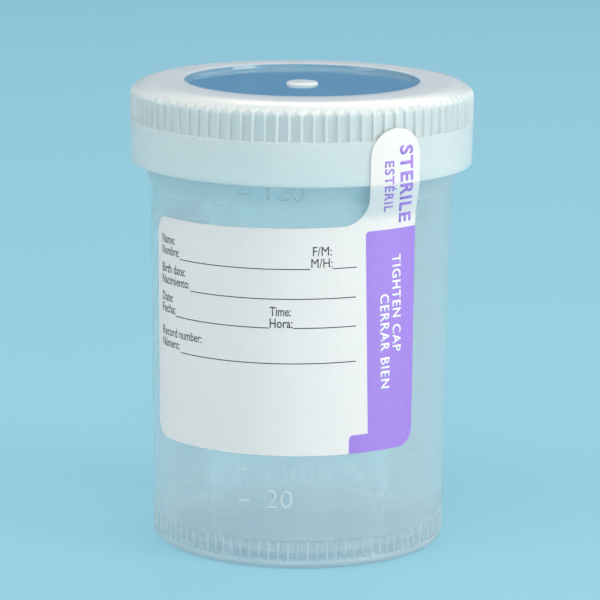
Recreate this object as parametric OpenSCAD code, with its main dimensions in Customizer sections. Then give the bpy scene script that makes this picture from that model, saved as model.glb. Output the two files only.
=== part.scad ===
// Screw-cap specimen cup: a moulded clear cup, a ribbed screw cap with a loose sealing
// disc under its ceiling, and a wrap-round paper label whose tab seals the cap.
// Millimetres, +Z up. The origin is the centre of the base, and the label faces -Y.

/* [Cup] */
// Height of the cup alone, from the base to the rim
cup_h = 78.4; // [60:0.2:110]
// Outer diameter of the wall where the flare starts
body_d = 52.96; // [40:0.02:80]
// Diameter that the wall loses between the flare and the foot
body_taper = 1.24; // [0.4:0.02:3]
// Thickness of the wall
cup_wall = 1.25; // [0.8:0.05:2]
// Thickness of the floor
floor_t = 1.4; // [0.8:0.05:2.5]
// Radius of the inside corner between floor and wall
floor_r = 1.6; // [0.5:0.1:4]
// Height of the knurled foot band
foot_h = 5.2; // [3:0.1:9]
// Step inward from the wall to the foot band
foot_inset = 0.12; // [0.05:0.01:0.4]
// Radius of the rounded edge under the foot band
foot_r = 1.4; // [0.5:0.1:2.5]
// Height of the hollow under the floor
base_recess = 0.6; // [0.2:0.05:1.2]
// Width of the ring that the cup stands on
stand_w = 3.4; // [2:0.1:6]
// Number of fine ribs round the foot band
knurl_count = 96; // [48:4:120]
// Depth of the grooves between those ribs
knurl_depth = 0.12; // [0.08:0.01:0.25]

/* [Neck and thread] */
// Height of the flare between wall and neck
flare_h = 3.6; // [2:0.1:6]
// Widening of the radius across the flare
flare_out = 1.22; // [0.5:0.02:2.5]
// Height of the straight neck, from the flare to the rim
neck_h = 11.4; // [9:0.1:16]
// Number of thread starts
thread_starts = 3; // [2:1:4]
// Rise of the cap for one full turn
thread_lead = 9; // [6:0.5:12]
// Angle that one thread ridge runs round the neck
thread_turn = 240; // [120:6:300]
// Height of a thread ridge above its wall
ridge_h = 0.9; // [0.5:0.05:1.2]
// Width of a thread ridge at its foot
ridge_foot = 1.6; // [1:0.05:2]
// Width of a thread ridge at its crest
ridge_crest = 0.6; // [0.3:0.05:0.9]
// Clearance between a crest and the wall that it faces
thread_play = 0.25; // [0.15:0.01:0.5]
// Height of the first thread start above the flare
thread_rise = 2.3; // [1.5:0.1:4]
// Distance from the lower edge of the skirt up to the foot of the cap's ridges
thread_lag = 0.6; // [0.2:0.1:2]

/* [Cap] */
// Height of the cap
cap_h = 14.2; // [12:0.1:18]
// Thickness of the skirt
cap_wall = 1.15; // [0.9:0.05:2]
// Thickness of the ceiling inside the recess
cap_ceiling = 1.25; // [0.8:0.05:2.5]
// Radius that the skirt loses from the grip down to its lower edge
skirt_taper = 0.13; // [0:0.01:0.4]
// Height of the smooth band below the grip
smooth_h = 7.7; // [4:0.1:10]
// Height of the rounded shoulder
shoulder_h = 2.3; // [1:0.1:3]
// Width of the rounded shoulder
shoulder_w = 4.6; // [2:0.1:7]
// Diameter of the round recess in the top
recess_d = 40.6; // [30:0.1:48]
// Depth of that recess
recess_depth = 0.75; // [0.3:0.05:1.2]
// Diameter of the pad in the middle of the recess
pad_d = 6.3; // [3:0.1:10]
// Height of that pad
pad_h = 0.45; // [0.2:0.05:0.7]
// Number of grip ribs
grip_count = 90; // [40:2:120]
// Width of a grip rib
grip_w = 0.5; // [0.3:0.05:1]
// Depth of the grooves between the grip ribs
grip_depth = 0.45; // [0.2:0.05:0.7]

/* [Sealing disc] */
// Thickness of the sealing disc
liner_t = 1.0; // [0.6:0.05:2]
// Gap round the edge of the disc, and how far it stays inside the thread wall
liner_edge = 0.45; // [0.3:0.05:0.6]
// Gap above and below the disc when the cap is home
liner_gap = 0.05; // [0.03:0.01:0.15]

/* [Label] */
// Length of the label round the cup
label_w = 53.74; // [30:0.02:80]
// Height of the label
label_h = 39.5; // [25:0.1:45]
// Distance from the label's upper edge up to where the tab leaves the wall
label_drop = 1.6; // [0.5:0.1:4]
// Azimuth of the label's middle, from the front towards +X
label_az = -10; // [-30:0.1:30]
// Radius of the label's corners
label_r = 3.1; // [1:0.1:5]
// Thickness of the label paper
label_t = 0.15; // [0.1:0.01:0.3]
// Thickness of the glue under the paper
glue_t = 0.03; // [0.02:0.01:0.06]
// Width of the sealing tab
tab_w = 9.9; // [6:0.1:14]
// Distance from the label's right edge in to the tab's right edge
tab_s = 0; // [0:0.1:20]
// Height of the tab on the cap, above the lower edge of the skirt
tab_rise = 9.7; // [6:0.1:11]
// Distance from there up to the flare, where the tab already leans out to the skirt
tab_free = 1.9; // [0.5:0.1:4]
// Radius of the concave corner between the tab and the label
tab_fillet = 5.0; // [2:0.1:8]
// Width of the tear between the tab's two halves
tear_gap = 0.1; // [0.05:0.01:0.2]

/* [Hidden] */

$fn = 180;
ARC_STEPS = 8;          // straight steps in a rounded edge
FOOT_ARC = 82;          // degrees of rounding under the foot, which leaves its side a slight lean
SWEEP = 6;              // degrees between two rings of a thread ridge
RUN_IN = 18;            // degrees over which a ridge grows to its full height
END_SHARE = 0.08;       // height of a ridge's ends, as a share of its full height
SINK = 0.3;             // how far a ridge's foot reaches into its wall
EPS = 0.05;             // overlap that joins two shapes of one outline
CLEAR = 1;              // how far a cutter reaches past what it cuts
CUT_SPAN = 10;          // reach of a corner cutter through the paper
RECESS_DRAFT = 0.1;     // lean of the recess's side
GRIP_LIP = 0.3;         // straight skirt left below the grooves of the grip
GRAZE = 0.02;           // how far a rounding cut passes the edge that it meets

body_r = body_d / 2;
flare_z = cup_h - neck_h - flare_h;
neck_z = cup_h - neck_h;
neck_r = body_r + flare_out;
foot_top_r = body_r - body_taper / 2 - foot_inset;
floor_z = base_recess + floor_t;
rim_r = cup_wall / 3;
inner_rise = cup_wall / 4;   // how much higher the flare's corners lie inside the wall
knurl_w = 0.6;               // width of a rib in the foot band

cap_bore_r = neck_r + ridge_h + thread_play;
cap_r = cap_bore_r + cap_wall;
ceiling_z = cup_h + liner_t + 2 * liner_gap;
cap_top_z = ceiling_z + cap_ceiling + recess_depth;
skirt_z = cap_top_z - cap_h;
grip_z = skirt_z + smooth_h;
shoulder_z = cap_top_z - shoulder_h;
edge_r = cap_wall / 3;

thread_z = neck_z + thread_rise;
pitch = thread_lead / thread_starts;
thread_az = -10;             // azimuth where the first thread starts
cap_thread_z = thread_z - pitch / 2;
cap_thread_lag = (skirt_z + thread_lag + ridge_foot / 2 - cap_thread_z) * 360 / thread_lead;

tab_foot_z = flare_z - tab_free;
label_top = tab_foot_z - label_drop;
label_z = label_top - label_h;
tab_mid = label_az * PI / 180 * body_r + label_w / 2 - tab_s - tab_w / 2;
tab_head_az = tab_mid / (cap_r + glue_t) * 180 / PI;
tab_foot_az = tab_mid / body_r * 180 / PI;
tab_mid_az = (tab_head_az + tab_foot_az) / 2;

// Outer radius of the plain wall at height z
function wall_r(z) = body_r - body_taper / 2 * (flare_z - z) / (flare_z - foot_h);

// Points of a round edge from angle a0 to a1 about [x, y]
function arc(x, y, rx, ry, a0, a1) =
    [for (i = [0:ARC_STEPS])
        let (a = a0 + (a1 - a0) * i / ARC_STEPS)
        [x + rx * cos(a), y + ry * sin(a)]];

// Height of a ridge at step angle a, as a share of its full height
function run_in(a, turn) = max(END_SHARE, min(1, a / RUN_IN, (turn - a) / RUN_IN));

// One four-sided ring of a thread ridge; dir is 1 outward from a neck, -1 inward from a skirt
function ridge_ring(a, turn, z0, wall, dir) =
    let (
        h = run_in(a, turn),
        z = z0 + thread_lead * a / 360,
        crest = wall + dir * ridge_h * h,
        half_crest = ridge_crest / 2 + (ridge_foot - ridge_crest) / 2 * (1 - h),
        c = cos(a),
        s = sin(a),
        root = wall - dir * SINK)
    [[root * c, root * s, z - ridge_foot / 2],
     [crest * c, crest * s, z - half_crest],
     [crest * c, crest * s, z + half_crest],
     [root * c, root * s, z + ridge_foot / 2]];

// A helical ridge that starts on +X at height z0 and rises round +Z
module ridge(turn, z0, wall, dir) {
    steps = round(turn / SWEEP);
    rings = [for (i = [0:steps]) ridge_ring(turn * i / steps, turn, z0, wall, dir)];
    points = [for (r = rings) for (p = r) p];
    sides = [for (i = [0:steps - 1]) for (k = [0:3])
        let (a = 4 * i + k, b = 4 * i + (k + 1) % 4)
        dir > 0 ? [b, b + 4, a + 4, a] : [a, a + 4, b + 4, b]];
    last = 4 * steps;
    ends = dir > 0
        ? [[3, 2, 1, 0], [last, last + 1, last + 2, last + 3]]
        : [[0, 1, 2, 3], [last + 3, last + 2, last + 1, last]];
    polyhedron(points, concat(sides, ends), convexity = 6);
}

// All starts of a thread; each ridge joins the helix lag degrees after azimuth thread_az
module thread(turn, lag, z0, wall, dir) {
    for (i = [0:thread_starts - 1])
        rotate([0, 0, thread_az - 90 + lag + 360 / thread_starts * i])
            ridge(turn, z0 + thread_lead * lag / 360, wall, dir);
}

// Half outline of the cup, from the recess under the floor up the outside and down the inside
function cup_outline() = concat(
    [[0, base_recess], [foot_top_r - foot_r - stand_w, base_recess],
     [foot_top_r - foot_r - stand_w + base_recess, 0]],
    arc(foot_top_r - foot_r, foot_r, foot_r, foot_r, -90, FOOT_ARC - 90),
    [[foot_top_r, foot_h], [wall_r(foot_h), foot_h + foot_inset],
     [body_r, flare_z], [neck_r, neck_z]],
    arc(neck_r - rim_r, cup_h - rim_r, rim_r, rim_r, 0, 90),
    arc(neck_r - cup_wall + rim_r, cup_h - rim_r, rim_r, rim_r, 90, 180),
    [[neck_r - cup_wall, neck_z + inner_rise], [body_r - cup_wall, flare_z + inner_rise]],
    arc(wall_r(floor_z + floor_r) - cup_wall - floor_r, floor_z + floor_r, floor_r, floor_r,
        0, -90),
    [[0, floor_z]]);

// Cutter for count shallow grooves in a wall of radius r, with ribs rib_w wide between them
module grooves(count, r, depth, rib_w, z0, z1) {
    groove_w = 2 * PI * r / count - rib_w;
    for (i = [0:count - 1])
        rotate([0, 0, 360 / count * (i + 0.5)])
            translate([r - depth, -groove_w / 2, z0])
                cube([depth + CLEAR, groove_w, z1 - z0]);
}

module cup() {
    color([0.80, 0.88, 0.91, 0.45])
        union() {
            difference() {
                rotate_extrude(convexity = 6) polygon(cup_outline());
                grooves(knurl_count, foot_top_r, knurl_depth, knurl_w, foot_r, foot_h - foot_inset);
            }
            thread(thread_turn, 0, thread_z, neck_r, 1);
        }
}

// Half outline of the cap, from the middle of the top out over the skirt and back underneath
function cap_outline() = concat(
    [[0, cap_top_z - recess_depth + pad_h], [pad_d / 2 - pad_h, cap_top_z - recess_depth + pad_h],
     [pad_d / 2, cap_top_z - recess_depth], [recess_d / 2 - RECESS_DRAFT, cap_top_z - recess_depth],
     [recess_d / 2, cap_top_z]],
    arc(cap_r - shoulder_w, shoulder_z, shoulder_w, shoulder_h, 90, 0),
    [[cap_r, grip_z - GRIP_LIP]],
    arc(cap_r - skirt_taper - edge_r, skirt_z + edge_r, edge_r, edge_r, 0, -90),
    [[cap_bore_r + edge_r, skirt_z], [cap_bore_r, skirt_z + 2 * edge_r],
     [cap_bore_r, ceiling_z], [0, ceiling_z]]);

module cap() {
    color([0.86, 0.91, 0.92])
        union() {
            difference() {
                rotate_extrude(convexity = 6) polygon(cap_outline());
                grooves(grip_count, cap_r, grip_depth, grip_w, grip_z, cap_top_z + CLEAR);
            }
            thread(thread_turn - cap_thread_lag, cap_thread_lag, cap_thread_z, cap_bore_r, -1);
        }
}

module liner() {
    bevel = liner_t / 5;
    liner_r = cap_bore_r - liner_edge;
    color([0.93, 0.95, 0.95])
        translate([0, 0, cup_h + liner_gap])
            rotate_extrude()
                polygon([[0, 0], [liner_r - bevel, 0], [liner_r, bevel], [liner_r, liner_t - bevel],
                         [liner_r - bevel, liner_t], [0, liner_t]]);
}

// Thin shell of paper for a wedge of azimuths: up the plain wall, then leaning out to the skirt
module paper_shell(az0, az1) {
    low_r = wall_r(label_z) + glue_t;
    bend_r = wall_r(tab_foot_z) + glue_t;
    lip_r = cap_r - skirt_taper + glue_t;
    rotate([0, 0, az0 - 90])
        rotate_extrude(angle = az1 - az0, convexity = 4)
            polygon([[low_r, label_z], [bend_r, tab_foot_z], [lip_r, skirt_z - tear_gap],
                     [lip_r + label_t, skirt_z - tear_gap],
                     [bend_r + label_t, tab_foot_z - label_t / 2], [low_r + label_t, label_z]]);
}

// Cutter that rounds one corner of the label, where sx and sz point from its arc to the corner.
// The arc crosses the label's edges just short of tangent, which keeps the cut clean.
module corner_cut(az, z, sx, sz) {
    rotate([0, 0, az])
        translate([sx * GRAZE, -body_r + CUT_SPAN / 2, z + sz * GRAZE])
            rotate([90, 0, 0])
                linear_extrude(height = CUT_SPAN)
                    difference() {
                        translate([sx > 0 ? 0 : -label_r - CLEAR, sz > 0 ? 0 : -label_r - CLEAR])
                            square(label_r + CLEAR);
                        circle(label_r);
                    }
}

// Outline of the tab as seen square on, with x round the cup from the tab's middle azimuth
module tab_outline(z0, z1) {
    head_x = (cap_r + glue_t) * sin(tab_head_az - tab_mid_az);
    foot_x = body_r * sin(tab_foot_az - tab_mid_az);
    head_z = skirt_z + tab_rise - tab_w / 2;
    corner_x = foot_x - tab_w / 2;
    intersection() {
        union() {
            translate([head_x, head_z]) circle(tab_w / 2);
            difference() {
                translate([corner_x - tab_fillet, label_top - CLEAR])
                    square([tab_fillet + EPS, tab_fillet + CLEAR]);
                translate([corner_x - tab_fillet, label_top + tab_fillet]) circle(tab_fillet);
            }
            polygon([[head_x - tab_w / 2, head_z], [head_x - tab_w / 2, skirt_z],
                     [foot_x - tab_w / 2, tab_foot_z], [foot_x - tab_w / 2, label_top - CLEAR],
                     [foot_x + tab_w, label_top - CLEAR], [foot_x + tab_w, label_top],
                     [foot_x + tab_w / 2, tab_foot_z],
                     [head_x + tab_w / 2, skirt_z], [head_x + tab_w / 2, head_z]]);
        }
        translate([-tab_w - tab_fillet, z0]) square([2 * (tab_w + tab_fillet), z1 - z0]);
    }
}

// The tab's outline pushed outward from the axis, to cut a tab out of a thin shell
module tab_prism(z0, z1) {
    rotate([0, 0, tab_mid_az])
        rotate([90, 0, 0])
            linear_extrude(height = 2 * cap_r)
                tab_outline(z0, z1);
}

// Everything above the label's upper edge, apart from the tab
module above_label() {
    difference() {
        translate([0, 0, label_top]) cylinder(r = 2 * cap_r, h = cap_h);
        tab_prism(label_top - CLEAR, skirt_z + CLEAR);
    }
}

module label_panel() {
    half_az = label_w / 2 / body_r * 180 / PI;
    corner_az = label_r / body_r * 180 / PI;
    left = label_az - half_az;
    right = label_az + half_az;
    color([0.93, 0.95, 0.97])
        difference() {
            paper_shell(left, right);
            above_label();
            corner_cut(left + corner_az, label_top - label_r, -1, 1);
            corner_cut(left + corner_az, label_z + label_r, -1, -1);
            corner_cut(right - corner_az, label_z + label_r, 1, -1);
        }
}

module seal_tab() {
    lip_r = cap_r - skirt_taper + glue_t;
    grip_r = cap_r + glue_t;
    color([0.97, 0.97, 0.98])
        intersection() {
            rotate_extrude(convexity = 4)
                polygon([[lip_r, skirt_z], [lip_r + label_t, skirt_z], [grip_r + label_t, grip_z],
                         [grip_r + label_t, cap_top_z], [grip_r, cap_top_z], [grip_r, grip_z]]);
            tab_prism(skirt_z, shoulder_z);
        }
}

cup();
cap();
liner();
label_panel();
seal_tab();
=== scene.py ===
# %% [markdown]
# # A screw-cap specimen cup
# The object is a moulded plastic cup with a screw cap, as used for samples on a ward. It is
# made of two mouldings, a sealing disc and one paper label whose tab seals the cap. Each
# cell below makes one piece or one finish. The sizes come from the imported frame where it
# has them, and the rest are named in millimetres next to the piece they belong to.

# %% Frame, units and the boxes of the main pieces
import math
import bmesh
import bpy
from mathutils import Matrix, Vector


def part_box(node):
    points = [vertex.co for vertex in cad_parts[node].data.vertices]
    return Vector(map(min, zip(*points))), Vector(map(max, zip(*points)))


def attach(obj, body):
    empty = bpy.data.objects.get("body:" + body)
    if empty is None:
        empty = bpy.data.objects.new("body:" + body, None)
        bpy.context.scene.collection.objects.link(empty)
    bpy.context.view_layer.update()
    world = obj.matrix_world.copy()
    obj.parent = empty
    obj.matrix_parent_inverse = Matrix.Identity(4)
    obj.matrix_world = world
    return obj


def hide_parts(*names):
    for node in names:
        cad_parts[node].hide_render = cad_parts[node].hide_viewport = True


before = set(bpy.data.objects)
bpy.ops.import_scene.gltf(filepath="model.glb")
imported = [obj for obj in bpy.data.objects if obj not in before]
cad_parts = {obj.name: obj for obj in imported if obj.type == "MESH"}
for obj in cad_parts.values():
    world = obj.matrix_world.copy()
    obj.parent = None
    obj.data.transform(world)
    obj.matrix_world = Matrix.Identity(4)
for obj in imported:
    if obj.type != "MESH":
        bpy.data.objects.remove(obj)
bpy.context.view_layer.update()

MM = 0.001


def box_mm(node):
    """Lowest and highest corner of a frame node, in millimetres."""
    low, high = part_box(node)
    return [v / MM for v in low], [v / MM for v in high]


cap_low, cap_high = box_mm("cap")
cup_low, cup_high = box_mm("cup")
CAP_R = cap_high[0]
TOP_Z = cap_high[2]
SKIRT_Z = cap_low[2]
RIM_Z = cup_high[2]
print("cap radius", round(CAP_R, 2), "skirt", round(SKIRT_Z, 2), "top", round(TOP_Z, 2), "rim", round(RIM_Z, 2))

# %% [markdown]
# ## Wall, neck and paper radii
# Almost everything lies on a surface of revolution, so two small functions describe the
# whole object: the radius of the cup's outer wall at a height, and the radius of the paper
# at a height. The paper follows the wall, leans out across the gap under the cap and then
# follows the skirt. A profile drawn by hand in the viewport would do as well, but with
# functions the print, the numerals and the paper all land on the same surface.

# %% Heights and radii shared by the pieces
FOOT_H = 5.2
FLARE_Z = RIM_Z - 15.0
NECK_Z = RIM_Z - 11.4
WALL_R = 26.48          # outer radius of the wall where the flare starts
WALL_TAPER = 0.62       # radius lost between the flare and the foot
FLARE_OUT = 1.22
WALL = 1.25
NECK_R = WALL_R + FLARE_OUT
SKIRT_TAPER = 0.13
GRIP_Z = SKIRT_Z + 7.7
PAPER_T = 0.12
TURN = 0.7              # half the height over which the paper turns at the skirt's edge
GLUE_T = 0.03
BEND_Z = SKIRT_Z - 5.8  # where the tab leaves the wall


def wall_r(z):
    """Outer radius of the plain wall at height z."""
    return WALL_R - WALL_TAPER * (FLARE_Z - z) / (FLARE_Z - FOOT_H)


def outer_r(z):
    """Outer radius of wall, flare and neck at height z; the flare is a soft S."""
    if z <= FLARE_Z:
        return wall_r(z)
    share = min(1.0, (z - FLARE_Z) / (NECK_Z - FLARE_Z))
    return WALL_R + FLARE_OUT * share * (0.55 + 0.45 * share)


def paper_r(z):
    """Radius of the paper's inner face at height z."""
    skirt = CAP_R - SKIRT_TAPER
    wall_end = wall_r(BEND_Z)
    slope = (skirt - wall_end) / (SKIRT_Z - BEND_Z)
    rise = SKIRT_TAPER / (GRIP_Z - SKIRT_Z)
    if z >= SKIRT_Z - TURN:
        short = slope - rise
        dip = short * max(0.0, TURN - (z - SKIRT_Z)) ** 2 / (4 * TURN)
        return min(CAP_R, skirt + rise * (z - SKIRT_Z) - dip) + GLUE_T
    if z <= BEND_Z - 0.8:
        return wall_r(z) + GLUE_T
    if z <= BEND_Z + 0.8:
        t = z - BEND_Z + 0.8
        return wall_r(z) + GLUE_T + slope * t * t / 3.2
    return wall_end + slope * (z - BEND_Z) + GLUE_T


print("wall radius at the foot", round(wall_r(FOOT_H), 2), "and at the flare", WALL_R)

# %% [markdown]
# ## Small helpers
# One function adds any node with its settings and links, for shader and geometry trees
# alike. Colours are written as sRGB hex values and turned to linear in one place.

# %% Helpers for nodes, colours and meshes


def add_node(tree, kind, inputs=None, **settings):
    """Adds a node; inputs maps a socket's name or place to a value, a socket or a node.

    A node stands for its first output.
    """
    node = tree.nodes.new(kind)
    for name, value in settings.items():
        setattr(node, name, value)
    for key, value in (inputs or {}).items():
        socket = node.inputs[key]
        if isinstance(value, bpy.types.Node):
            value = value.outputs[0]
        if isinstance(value, bpy.types.NodeSocket):
            tree.links.new(value, socket)
        else:
            socket.default_value = value
    return node


def linear(hex_colour):
    """sRGB hex to linear RGBA."""
    values = [int(hex_colour[i:i + 2], 16) / 255 for i in (1, 3, 5)]
    return [v / 12.92 if v <= 0.04045 else ((v + 0.055) / 1.055) ** 2.4 for v in values] + [1.0]


def mesh_object(name, points, faces=(), edges=(), material=None):
    """A new object whose points are given in millimetres."""
    mesh = bpy.data.meshes.new(name)
    mesh.from_pydata([[c * MM for c in p] for p in points], edges, faces)
    obj = bpy.data.objects.new(name, mesh)
    bpy.context.scene.collection.objects.link(obj)
    if material:
        mesh.materials.append(material)
    return obj


def arc(x, z, rx, rz, a0, a1, steps):
    """Points on an elliptic arc from a0 to a1 degrees."""
    angles = [math.radians(a0 + (a1 - a0) * i / steps) for i in range(steps + 1)]
    return [(x + rx * math.cos(a), z + rz * math.sin(a)) for a in angles]


def smooth(obj, degrees=30):
    """Smooth shading with sharp edges above an angle."""
    obj.data.shade_smooth()
    obj.data.set_sharp_from_angle(angle=math.radians(degrees))


# %% [markdown]
# ## Camera and studio
# The camera looks down a little on the front of the label through a long lens, so the
# cup's sides stay almost parallel. The floor is a plain pale sheet that fills the view.
# Three soft lamps stand for studio softboxes: a broad one above, one at each side, whose
# long reflections show that the wall is smooth and round.

# %% Camera
CAMERA_AT = (0.0, -549.15, 157.17)
LOOK_DOWN = 11.83
CAMERA_ROLL = 0.566
LENS = 189.9

lens = bpy.data.cameras.new("camera")
lens.lens = LENS
lens.sensor_width = 36.0
lens.clip_start = 0.05
camera = bpy.data.objects.new("camera", lens)
bpy.context.scene.collection.objects.link(camera)
camera.matrix_world = (
    Matrix.Translation([v * MM for v in CAMERA_AT])
    @ Matrix.Rotation(math.radians(90 - LOOK_DOWN), 4, "X")
    @ Matrix.Rotation(math.radians(CAMERA_ROLL), 4, "Z")
)
bpy.context.scene.camera = camera
print("camera at", CAMERA_AT, "mm, lens", LENS, "mm")

# %% Floor, lamps and world
FLOOR_COLOUR = "#93CADD"
BACKDROP_COLOUR = "#2F7FBF"
GLOW_SHARE = 0.62       # how much of the floor's own colour is seen whatever light falls on it

floor_finish = bpy.data.materials.new("painted_studio_floor")
floor_finish.use_nodes = True
floor_shader = floor_finish.node_tree.nodes["Principled BSDF"]
floor_shader.inputs["Base Color"].default_value = linear(FLOOR_COLOUR)
floor_shader.inputs["Roughness"].default_value = 0.7
floor_shader.inputs["Specular IOR Level"].default_value = 0.2
floor_tree = floor_finish.node_tree
ray = add_node(floor_tree, "ShaderNodeLightPath").outputs
seen = add_node(floor_tree, "ShaderNodeMath", {0: ray["Is Camera Ray"], 1: ray["Is Glossy Ray"]}, operation="MAXIMUM")
seen = add_node(floor_tree, "ShaderNodeMath", {0: seen.outputs[0], 1: ray["Is Transmission Ray"]}, operation="MAXIMUM")
share = add_node(floor_tree, "ShaderNodeMath", {0: seen.outputs[0], 1: GLOW_SHARE}, operation="MULTIPLY")
glow = add_node(floor_tree, "ShaderNodeEmission", {"Color": linear(FLOOR_COLOUR), "Strength": 1.0})
both = add_node(floor_tree, "ShaderNodeMixShader", {0: share.outputs[0], 1: floor_shader.outputs[0], 2: glow.outputs[0]})
floor_tree.links.new(both.outputs[0], floor_tree.nodes["Material Output"].inputs["Surface"])
floor = mesh_object("studio_floor", [(-4000, -3000, 0), (4000, -3000, 0), (4000, 5000, 0), (-4000, 5000, 0)],
                    [(0, 1, 2, 3)], material=floor_finish)
backdrop_finish = bpy.data.materials.new("blue_card")
backdrop_finish.use_nodes = True
backdrop_finish.node_tree.nodes["Principled BSDF"].inputs["Base Color"].default_value = linear(BACKDROP_COLOUR)
backdrop_finish.node_tree.nodes["Principled BSDF"].inputs["Roughness"].default_value = 0.8
backdrop = mesh_object("studio_card", [(-1500, 1700, 0), (1500, 1700, 0), (1500, 1900, 1100), (-1500, 1900, 1100)],
                       [(0, 1, 2, 3)], material=backdrop_finish)


def softbox(name, at, width, height, power):
    """A rectangular area lamp that faces the middle of the object; places in millimetres."""
    light = bpy.data.lights.new(name, "AREA")
    light.shape = "RECTANGLE"
    light.size = width * MM
    light.size_y = height * MM
    light.energy = power
    light.color = linear("#FFF8EE")[:3]
    obj = bpy.data.objects.new(name, light)
    bpy.context.scene.collection.objects.link(obj)
    place = Vector(at) * MM
    aim = Vector((0, 0, 40)) * MM
    obj.matrix_world = Matrix.Translation(place) @ (aim - place).to_track_quat("-Z", "Y").to_matrix().to_4x4()
    return obj


softbox("top_softbox", (-100, -450, 850), 900, 600, 4.6)
softbox("left_softbox", (-700, -300, 300), 350, 700, 2.0)
softbox("right_softbox", (700, -350, 320), 350, 700, 5.4)
softbox("back_softbox", (250, 700, 800), 900, 450, 3.2)

world = bpy.data.worlds.new("studio")
bpy.context.scene.world = world
world.use_nodes = True
world.node_tree.nodes["Background"].inputs["Color"].default_value = linear("#F6F8FA")
world.node_tree.nodes["Background"].inputs["Strength"].default_value = 0.5
bpy.context.scene.view_settings.view_transform = "Standard"

# %% [markdown]
# ## The clear plastic of the cup
# Specimen cups are injection moulded in clarified polypropylene. It lets light through, but
# its crystals scatter a little of it, so the wall looks like clean ice: things behind it
# are paler and softer. A Principled shader with most of its weight in transmission gives
# the clear part, and what is left of its diffuse part gives the milk. A noise a few
# millimetres wide, stretched along the height, stands for the flow streaks of the melt.

# %% Clarified polypropylene for the cup
PP_IOR = 1.49
CLEAR_TINT = "#F2F9FA"


def moulded_plastic(name, tint, transmission, roughness, ior=PP_IOR):
    """A material and its Principled shader, set to a moulded plastic's typical values."""
    material = bpy.data.materials.new(name)
    material.use_nodes = True
    shader = material.node_tree.nodes["Principled BSDF"]
    shader.inputs["Base Color"].default_value = linear(tint)
    shader.inputs["Transmission Weight"].default_value = transmission
    shader.inputs["Roughness"].default_value = roughness
    shader.inputs["IOR"].default_value = ior
    return material, shader


def object_place(tree, scale=(1, 1, 1)):
    """Object coordinates in metres, stretched by a Mapping node."""
    place = add_node(tree, "ShaderNodeTexCoord")
    return add_node(tree, "ShaderNodeMapping", {"Vector": place.outputs["Object"], "Scale": scale})


def drifting(tree, shader, low, high, noise, depth, strength, relief=None):
    """A noise drifts the tint between two colours; it, or relief, lifts the face by depth mm."""
    mix = add_node(tree, "ShaderNodeMix", {"Factor": noise, 6: linear(low), 7: linear(high)}, data_type="RGBA")
    tree.links.new(mix.outputs[2], shader.inputs["Base Color"])
    height = (relief or noise).outputs["Fac"]
    bump = add_node(tree, "ShaderNodeBump", {"Height": height, "Distance": depth * MM, "Strength": strength})
    tree.links.new(bump.outputs["Normal"], shader.inputs["Normal"])


STREAK = 6.0            # width of a flow streak, mm
clear_pp, shader = moulded_plastic("clarified_polypropylene", CLEAR_TINT, 0.80, 0.08)
shader.inputs["Alpha"].default_value = 0.6
tree = clear_pp.node_tree
place = object_place(tree, (1, 1, 0.12))
streaks = add_node(tree, "ShaderNodeTexNoise", {"Vector": place.outputs["Vector"], "Scale": 1 / (STREAK * MM), "Detail": 2.0})
drifting(tree, shader, "#F1F8FA", "#FCFEFF", streaks, 0.02, 0.5)
haze = add_node(tree, "ShaderNodeMapRange", {"Value": streaks.outputs["Fac"], "To Min": 0.06, "To Max": 0.16})
tree.links.new(haze.outputs["Result"], shader.inputs["Roughness"])

# the flare and the foot come from a matt part of the mould, which makes them cloudier
matt_pp, shader = moulded_plastic("matt_moulded_polypropylene", CLEAR_TINT, 0.62, 0.3)
shader.inputs["Alpha"].default_value = 0.62
tree = matt_pp.node_tree
place = object_place(tree)
cloud = add_node(tree, "ShaderNodeTexNoise", {"Vector": place.outputs["Vector"], "Scale": 1 / (5 * MM), "Detail": 3.0})
drifting(tree, shader, "#E9F2F4", "#F7FBFC", cloud, 0.03, 0.5)
print("clear wall:", clear_pp.name, "matt zones:", matt_pp.name)

# %% [markdown]
# ## The frosted plastic of the cap
# The cap is a softer polyethylene, moulded against a blasted tool face. It is cloudy all
# through, so it glows at its edges, and its fine grain blurs the reflections. The grain of
# a blasted face is finer than the picture can show, so it is drawn at a third of a
# millimetre. The rounded centre of the top is left glossy by its polished insert. Its
# recess is painted blue, a painted reflection of the blue card, which drifts a little.

# %% Frosted polyethylene for the cap
GRIT = 0.35             # width of a grain, mm, drawn coarser than real
frosted_pe, shader = moulded_plastic("frosted_polyethylene", "#F0F8FB", 0.34, 0.26, 1.51)
shader.inputs["Subsurface Weight"].default_value = 0.7
shader.inputs["Subsurface Radius"].default_value = (1.0, 1.0, 1.0)
shader.inputs["Subsurface Scale"].default_value = 2.5 * MM
tree = frosted_pe.node_tree
place = object_place(tree)
cloud = add_node(tree, "ShaderNodeTexNoise", {"Vector": place.outputs["Vector"], "Scale": 1 / (9 * MM), "Detail": 3.0})
grain = add_node(tree, "ShaderNodeTexNoise", {"Vector": place.outputs["Vector"], "Scale": 1 / (GRIT * MM), "Detail": 1.0})
drifting(tree, shader, "#E6F4F8", "#F3FCFF", cloud, 0.03, 0.35, grain)

# the recess's blue tint is a painted reflection of the blue card; the noise drifts that painted reflection between two
# blues and ripples the polished face
polished_pe_painted_reflection, shader = moulded_plastic("polished_polyethylene_painted_reflection", "#DDE8ED", 0.60, 0.10, 1.51)
tree = polished_pe_painted_reflection.node_tree
place = object_place(tree)
ripple_and_painted_reflection = add_node(tree, "ShaderNodeTexNoise", {"Vector": place.outputs["Vector"], "Scale": 1 / (7 * MM), "Detail": 2.0})
drifting(tree, shader, "#86BFE4", "#9CCDEB", ripple_and_painted_reflection, 0.05, 0.5)
print("cap finishes:", frosted_pe.name, polished_pe_painted_reflection.name)

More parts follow.
